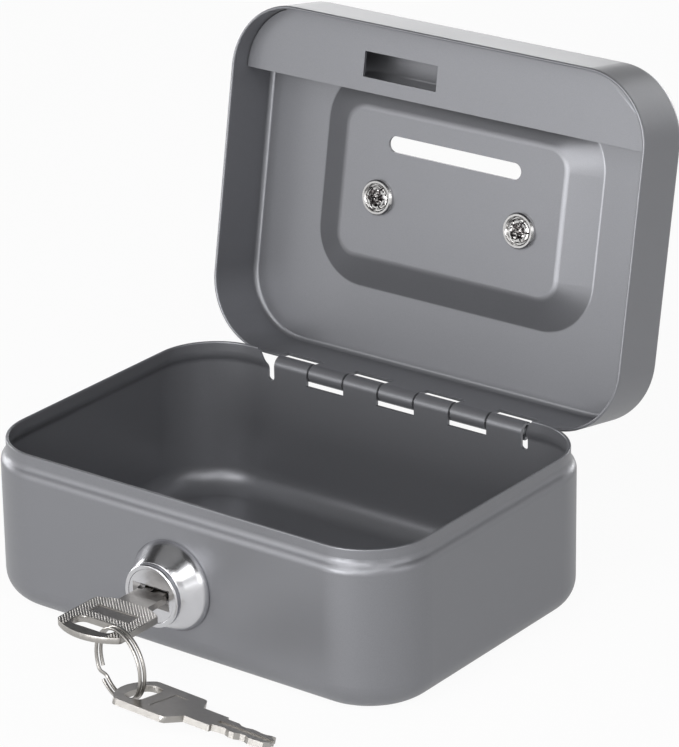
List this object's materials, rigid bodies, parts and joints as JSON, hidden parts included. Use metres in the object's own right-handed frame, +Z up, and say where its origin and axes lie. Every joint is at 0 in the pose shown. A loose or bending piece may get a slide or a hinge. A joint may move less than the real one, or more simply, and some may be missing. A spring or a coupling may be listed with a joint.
{
  "type": "cash box",
  "caption": "Small steel cash box with rounded corners: hinged lid with coin slot and folding handle, cam lock that hooks a strip in the lid, and keys on a split ring.",
  "frame": {"origin": "centre of the flat base, on the table", "axes": "+X to the right seen from the front, +Y towards the hinge, +Z up; the lock faces -Y"},
  "size_m": [0.125, 0.1612, 0.1266],
  "materials": {
    "grey_paint": "satin metallic grey enamel",
    "chrome_plate": "bright chrome plate",
    "nickel_plate": "satin nickel plate",
    "zinc_plate": "bright zinc plate",
    "plain_brass": "plain brass",
    "spring_steel": "drawn wire"
  },
  "bodies": {
    "box": {"body_shell": "grey_paint", "hinge_pin": "zinc_plate", "lock_escutcheon": "chrome_plate", "lock_barrel": "chrome_plate", "tooth_washer": "zinc_plate", "lock_nut": "zinc_plate"},
    "lid": {"lid_shell": "grey_paint", "strike_strip": "grey_paint", "handle_post_left": "chrome_plate", "handle_post_right": "chrome_plate", "cup_washers": "chrome_plate"},
    "handle": {"carry_handle": "chrome_plate"},
    "plug": {"lock_plug": "chrome_plate", "lock_wafers": "plain_brass", "wafer_springs": "spring_steel", "stop_washer": "zinc_plate", "lock_cam": "zinc_plate", "cam_washer": "zinc_plate", "cam_screw": "zinc_plate"},
    "key": {"lock_key": "nickel_plate"},
    "ring": {"split_ring": "nickel_plate"},
    "spare": {"spare_key": "nickel_plate"}
  },
  "joints": [
    {"name": "lid_hinge", "type": "hinge", "parent": "box", "child": "lid", "pos_m": [0, 0.04656, 0.03665], "axis": [1, 0, 0], "range_deg": [0, 100]},
    {"name": "handle_swing", "type": "hinge", "parent": "lid", "child": "handle", "pos_m": [0, 0.07146, 0.07852], "axis": [1, 0, 0], "range_deg": [-10, 170]},
    {"name": "plug_turn", "type": "hinge", "parent": "box", "child": "plug", "pos_m": [0, -0.0454, 0.02], "axis": [0, 1, 0], "range_deg": [0, 90]},
    {"name": "key_slide", "type": "slide", "parent": "plug", "child": "key", "axis": [0, -1, 0], "range_m": [0, 0.018]},
    {"name": "ring_swing", "type": "hinge", "parent": "key", "child": "ring", "pos_m": [0.0079, -0.07385, 0.02], "axis": [-0.2588, -0.9659, 0], "range_deg": [0, 20]},
    {"name": "spare_key_travel", "type": "hinge", "parent": "ring", "child": "spare", "pos_m": [0.0079, -0.07385, 0.01316], "axis": [0, 1, 0], "range_deg": [-100, 5]}
  ],
  "couplings": [
    {"joint": "spare_key_travel", "follows": "plug_turn", "ratio": -1}
  ]
}
